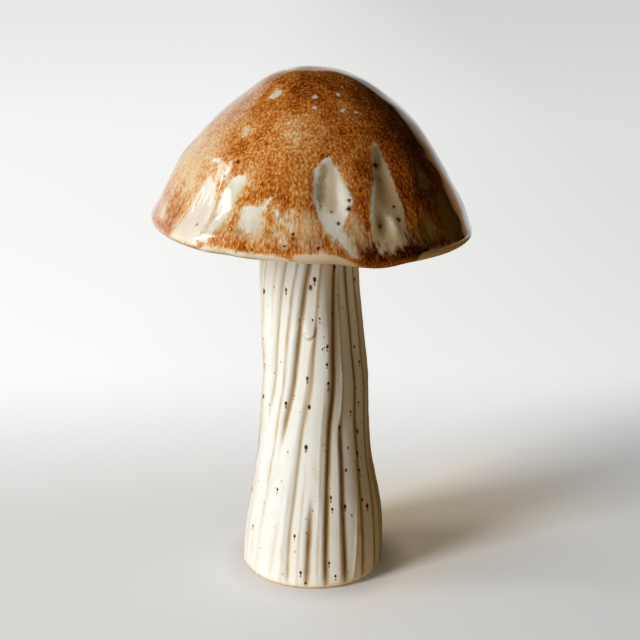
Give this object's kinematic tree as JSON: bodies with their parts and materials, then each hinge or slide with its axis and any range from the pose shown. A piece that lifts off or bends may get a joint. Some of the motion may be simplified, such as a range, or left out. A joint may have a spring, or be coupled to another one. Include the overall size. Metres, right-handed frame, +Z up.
{
  "type": "mushroom ornament",
  "caption": "Free-standing stoneware mushroom ornament: a fluted hollow stem carries a glazed domed cap that turns on a seat ring and lifts off.",
  "frame": {"origin": "centre of the foot's flat underside, where the ornament stands", "axes": "+Z up along the stem to the cap, -Y towards the pictured front, +X to the front view's right"},
  "size_m": [0.1226, 0.1226, 0.1999],
  "materials": {
    "stem_glaze": "gloss",
    "cap_glaze": "gloss",
    "bare_clay": "matte",
    "cork": "matte"
  },
  "bodies": {
    "stem": {"stem_tube": "stem_glaze", "foot_disc": "bare_clay"},
    "seat": {"seat_ring": "cork"},
    "cap": {"cap_dome": "cap_glaze", "cap_collar": "bare_clay"}
  },
  "joints": [
    {"name": "cap_turn", "type": "hinge", "parent": "stem", "child": "seat", "pos_m": [0, 0, 0.183], "axis": [0, 0, 1], "continuous": true},
    {"name": "cap_lift", "type": "slide", "parent": "seat", "child": "cap", "axis": [0, 0, 1], "range_m": [0, 0.06]}
  ]
}
